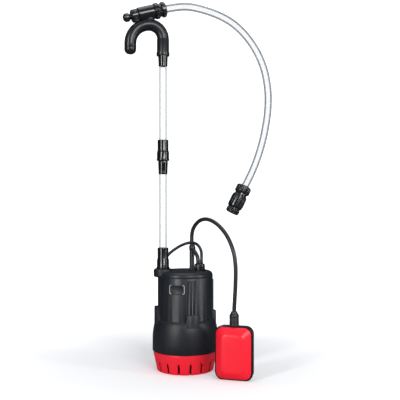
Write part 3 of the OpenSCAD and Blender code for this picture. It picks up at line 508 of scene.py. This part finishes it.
# %% Mains lead, tube
LEAD_SIDES = 12
mains = add_object("mains_lead", tube("mains_lead", mains_line, LEAD_D / 2, LEAD_SIDES),
                   "pump", cable_rubber)
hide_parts("power_cable", "power_cable_coil")
print("cords ready")

# %% [markdown]
# ## Float
# The float is a flat box with large corner rounds: a deep black back with a narrow rim, and a red
# front with a wide bevel on all four sides that rises to a flat field. A bevelled box would give
# every edge the same round, so each shell is a loft through rounded rectangles instead, and small
# steps at every change of slope round the edges off.

# %% Rounded rectangles and the float's own directions
FLOAT_FACING = math.radians(-32)
FLOAT_CENTRE = CLIP + out * 0.151 + Vector((0, 0, 0.001))
float_side = Vector((math.cos(FLOAT_FACING), math.sin(FLOAT_FACING), 0))
float_back = Vector((-math.sin(FLOAT_FACING), math.cos(FLOAT_FACING), 0))
FLOAT_W = 0.082
FLOAT_H = 0.116


def round_rectangle(width, height, radius, steps=10):
    points = []
    for quarter, (sx, sy) in enumerate(((1, 1), (-1, 1), (-1, -1), (1, -1))):
        for k in range(steps + 1):
            angle = math.pi / 2 * (quarter + k / steps)
            points.append((sx * (width / 2 - radius) + radius * math.cos(angle),
                           sy * (height / 2 - radius) + radius * math.sin(angle)))
    return points


def float_loop(inset, radius, depth):
    outline = round_rectangle(FLOAT_W - 2 * inset, FLOAT_H - 2 * inset, radius)
    middle = FLOAT_CENTRE + Vector((0, 0, FLOAT_H / 2)) + float_back * depth
    return [middle + float_side * x + Vector((0, 0, z)) for x, z in outline]


print("float at", [round(v, 3) for v in FLOAT_CENTRE])

# %% Float shells, from the seam outwards: inset, corner radius, depth
FRONT_STEPS = [(1.8, 16, -5.5), (1.8, 16, -7.4), (2.1, 15.9, -8.1), (2.8, 15.6, -8.7),
               (6.5, 14.2, -12.1), (12, 12.6, -16.3), (15.4, 11.6, -18.9), (16.6, 11.2, -19.7),
               (18.0, 10.8, -20.2), (20.0, 10, -20.4), (26, 8, -20.48), (34, 5, -20.5)]
BACK_STEPS = [(0.3, 16.6, -5.3), (-0.9, 17.6, -5.4), (-1.4, 17.9, -4.9), (-1.5, 18, -4.2),
              (-1.5, 18, -1.4), (-1.1, 17.8, -0.7), (0, 17, -0.3), (0, 17, 13.4), (0.4, 16.8, 15.4),
              (1.8, 16.2, 17.6), (4.2, 15, 19.4), (6.6, 13.8, 20.2), (10, 12, 20.45), (20, 9, 20.5)]
front = add_object("float_front", loops_to_mesh("float_front", [
    float_loop(a * MM, r * MM, d * MM) for a, r, d in FRONT_STEPS]), "float", red_plastic)
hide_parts("float_front_shell")
back = add_object("float_back", loops_to_mesh("float_back", [
    float_loop(a * MM, r * MM, d * MM) for a, r, d in BACK_STEPS]), "float", black_gloss)
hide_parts("float_back_shell")
print("float shells:", len(front.data.polygons) + len(back.data.polygons), "faces")

# %% Rubber boot of the float: a ribbed sleeve, drawn in round the cable
RIBS = 4
RIB_START = 5.0
RIB_PITCH = 4.2
boot_profile = [(4.6, 0.0), (10.4, 0.1), (10.5, 1.0), (10.5, 4.0)]
for rib in range(RIBS):
    z = RIB_START + rib * RIB_PITCH
    boot_profile += [(10.4, z), (9.7, z + 0.6), (9.7, z + 1.4), (10.4, z + 2.0), (10.5, z + 3.2)]
boot_profile += [(10.5, 23.0), (10.2, 24.4), (8.6, 27.0), (7.6, 28.2), (7.4, 29.4), (7.3, 31.0),
                 (6.6, 31.9), (5.4, 32.0), (4.6, 31.6)]
boot_mesh = lathe("float_boot_sleeve", [(r * MM, z * MM) for r, z in boot_profile], 40, False, False)
boot = add_object("float_boot_sleeve", boot_mesh, "float", cable_rubber)
boot.location = FLOAT_CENTRE + Vector((0, 0, FLOAT_H))
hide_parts("float_boot")
print("boot rings:", len(boot_profile))

# %% [markdown]
# ## Badge
# The badge on the barrel is blank: a thin light frame with round corners, and nothing inside it.
# Its outline is drawn flat, then each point is carried onto the round wall.

# %% Badge frame, bent round the barrel
BADGE_TURN = math.radians(-121)
BADGE_Z = 0.191
BADGE_W = 0.036
BADGE_H = 0.021
BADGE_CORNER = 0.004
LEAST_CORNER = 0.0006
BARREL_R = 0.064


def on_barrel(x, z, lift):
    angle = BADGE_TURN + x / BARREL_R
    reach = BARREL_R + lift
    return Vector((reach * math.cos(angle), reach * math.sin(angle), BADGE_Z + z))


def badge_loop(inset, lift):
    corner = max(LEAST_CORNER, BADGE_CORNER - inset)
    outline = round_rectangle(BADGE_W - 2 * inset, BADGE_H - 2 * inset, corner, 6)
    return [on_barrel(x, z, lift) for x, z in outline]


badge_loops = [badge_loop(a * MM, h * MM)
               for a, h in ((0.1, 1.2), (0.3, 1.6), (0.9, 1.75), (1.6, 1.6), (1.8, 0.9))]
badge = add_object("badge_frame", loops_to_mesh("badge_frame", badge_loops, False, False),
                   "pump", badge_line)
print("badge frame faces:", len(badge.data.polygons))

# %% [markdown]
# ## Ties round the coil
# Two straps hold the coiled lead together, the way it leaves the factory. Each is a flat band
# that goes round the bundle's section with a little room.

# %% Coil ties
TIE_W = 36
TIE_H = 42.6
TIE_CORNER = 3.6
TIE_MIDDLE = 0.0222
TIE_PLACES = (35, 215)
for index, degrees in enumerate(TIE_PLACES):
    angle = math.radians(degrees)
    outward = Vector((math.cos(angle), math.sin(angle), 0))
    along = Vector((-outward.y, outward.x, 0))
    middle = COIL_CENTRE + outward * COIL_RADIUS + Vector((0, 0, TIE_MIDDLE))
    loops = []
    for grow, shift in ((0.1, -2.2), (0.9, -2.0), (0.9, 2.0), (0.1, 2.2)):
        outline = round_rectangle((TIE_W + 2 * grow) * MM, (TIE_H + 2 * grow) * MM, TIE_CORNER * MM, 5)
        loops.append([middle + outward * x + Vector((0, 0, z)) + along * shift * MM
                      for x, z in outline])
    name = f"coil_tie_{index}"
    add_object(name, loops_to_mesh(name, loops, False, False), "pump", black_gloss)
print("ties:", len(TIE_PLACES))

# %% [markdown]
# ## Finishes for the frame's own pieces
# The frame's pieces keep their shape. Each gets a finish, and a small rounding on its edges: no
# moulded corner is knife-sharp, and the rounding is what catches the light. The meshes come with
# split corners, so a weld joins them before the bevel looks for its edges. Two hidden pieces that
# are made of many small facets stay as they are.

# %% Assign finishes
FINISHES = [
    (red_strainer, ["strainer_base", "base_plate"]),
    (black_plastic, ["pump_housing", "top_cover", "cable_post", "cable_clip", "suction_plate", "volute",
                     "discharge_pipe", "label_badge", "float_switch", "bearing_carrier"]),
    (black_gloss, ["cable_gland_nut", "lower_riser_bell", "lower_riser_spigot", "upper_riser_bell",
                   "upper_riser_spigot", "valve_body", "valve_bonnet", "valve_knob",
                   "connector_a_body", "connector_a_nut", "collar_a", "connector_b_nut",
                   "connector_b_body", "connector_b_socket", "connector_b_ring", "collar_b"]),
    (black_satin, ["hook_bend", "hook_end_cap"]),
    (clear_pvc, ["lower_riser_tube", "upper_riser_tube"]),
    (seal_rubber, ["cable_gland_seal", "riser_seals", "motor_seal", "discharge_seal", "shaft_seal",
                   "power_plug"]),
    (steel, ["housing_screws", "lower_bearing", "upper_bearing", "motor_shaft", "switch_ball",
             "plug_pins", "valve_spindle"]),
    (laminations, ["stator_core", "rotor_core"]),
    (copper, ["stator_windings"]),
    (aluminium, ["motor_casing", "capacitor"]),
    (nylon, ["impeller", "valve_plug"]),
]
FACETED = {"stator_core", "impeller"}
WELD = 0.00001
EDGE = 0.0006
SHARP = math.radians(40)


def soften(piece):
    weld = piece.modifiers.new("weld", "WELD")
    weld.merge_threshold = WELD
    bevel = piece.modifiers.new("rounding", "BEVEL")
    bevel.width = EDGE
    bevel.segments = 2
    bevel.limit_method = "ANGLE"
    bevel.angle_limit = SHARP
    bevel.use_clamp_overlap = True
    bevel.harden_normals = True


for material, names in FINISHES:
    for name in names:
        piece = nodes[name]
        if name not in FACETED:
            soften(piece)
        piece.data.materials.clear()
        piece.data.materials.append(material)
        for face in piece.data.polygons:
            face.use_smooth = True
print("finished nodes:", sum(len(names) for _, names in FINISHES))

# %% [markdown]
# ## Studio
# A white sweep and soft light. The black pieces would turn grey in an evenly white room, so the
# room itself is dim; only what the camera sees directly, or through the clear tubes, is white. The
# floor's own glow is painted light; it fades out under the pump, where the soft shadow has to show,
# and in reflections the floor is painted dark grey.

# %% What the camera sees directly or through a clear piece
def seen_directly(tree):
    path = node_in(tree, "ShaderNodeLightPath")
    either = node_in(tree, "ShaderNodeMath", operation="MAXIMUM")
    tree.links.new(path.outputs["Is Camera Ray"], either.inputs[0])
    tree.links.new(path.outputs["Is Transmission Ray"], either.inputs[1])
    return either.outputs["Value"]


SWEEP_AT = 4.2
SWEEP_R = 1.8
SWEEP_RISE = 0.02
floor_profile = [(0.001, 0), (3.0, 0), (SWEEP_AT, SWEEP_RISE)]
floor_profile += [(SWEEP_AT + SWEEP_R * math.sin(a), SWEEP_RISE + SWEEP_R * (1 - math.cos(a)))
                  for a in (math.radians(d) for d in range(10, 91, 10))]
floor_profile += [(SWEEP_AT + SWEEP_R, 4.0)]
print("floor rings:", len(floor_profile))

# %% Floor paint: white, with a painted glow that grows outwards and a painted darker reflection
floor_paint_and_painted_light = bpy.data.materials.new("floor_paint_and_painted_light")
floor_paint_and_painted_light.use_nodes = True
tree = floor_paint_and_painted_light.node_tree
paint = tree.nodes["Principled BSDF"]
paint.inputs["Roughness"].default_value = 0.95
paint.inputs["Specular IOR Level"].default_value = 0.1
paint.inputs["Emission Color"].default_value = (1, 1, 1, 1)
coordinate = node_in(tree, "ShaderNodeTexCoord")
reach = node_in(tree, "ShaderNodeVectorMath", operation="LENGTH")
tree.links.new(coordinate.outputs["Object"], reach.inputs[0])
fade = node_in(tree, "ShaderNodeMapRange", interpolation_type="SMOOTHSTEP")
fade.inputs["From Min"].default_value = 0.15
fade.inputs["From Max"].default_value = 1.1
fade.inputs["To Min"].default_value = 0.22
fade.inputs["To Max"].default_value = 1.0
tree.links.new(reach.outputs["Value"], fade.inputs["Value"])
# The glow is painted light: the floor emits for camera rays and through clear pieces, weaker near the
# pump.
glow = node_in(tree, "ShaderNodeMath", operation="MULTIPLY")
tree.links.new(seen_directly(tree), glow.inputs[0])
tree.links.new(fade.outputs["Result"], glow.inputs[1])
tree.links.new(glow.outputs["Value"], paint.inputs["Emission Strength"])
# Seen in a reflection, the floor's colour drops to dark grey: a painted darker reflection that keeps
# the black pieces deep.
path = node_in(tree, "ShaderNodeLightPath")
dim = node_in(tree, "ShaderNodeMix", data_type="RGBA")
dim.inputs["A"].default_value = (0.80, 0.80, 0.80, 1)
dim.inputs["B"].default_value = (0.12, 0.13, 0.15, 1)
tree.links.new(path.outputs["Is Glossy Ray"], dim.inputs["Factor"])
tree.links.new(dim.outputs["Result"], paint.inputs["Base Color"])
floor = add_object("floor", lathe("floor", floor_profile, 96, True, False), None, floor_paint_and_painted_light)
print("floor ready")


# %% Soft boxes and the dim room
def soft_box(name, place_at, aim, size, power):
    light = bpy.data.lights.new(name, "AREA")
    light.shape = "RECTANGLE"
    light.size, light.size_y = size
    light.energy = power
    lamp = bpy.data.objects.new(name, light)
    lamp.location = place_at
    lamp.rotation_euler = (Vector(aim) - Vector(place_at)).to_track_quat("-Z", "Y").to_euler()
    bpy.context.scene.collection.objects.link(lamp)


soft_box("left", (-2.0, -1.5, 1.0), (0, 0, 0.4), (0.35, 1.9), 34)
soft_box("right", (2.1, -1.7, 1.1), (0, 0, 0.4), (0.30, 1.9), 22)
soft_box("front", (0.5, -2.8, 1.5), (0, 0, 0.3), (1.5, 0.9), 44)
soft_box("top", (0.0, 0.3, 3.0), (0, 0, 0.2), (2.4, 2.4), 30)
world = bpy.data.worlds.new("studio")
bpy.context.scene.world = world
world.use_nodes = True
tree = world.node_tree
room = tree.nodes["Background"]
room.inputs["Strength"].default_value = 1
tint = node_in(tree, "ShaderNodeMix", data_type="RGBA")
tint.inputs["A"].default_value = (0.17, 0.195, 0.23, 1)
tint.inputs["B"].default_value = (1, 1, 1, 1)
tree.links.new(seen_directly(tree), tint.inputs["Factor"])
tree.links.new(tint.outputs["Result"], room.inputs["Color"])
bpy.context.scene.view_settings.view_transform = "Standard"
print("studio ready")
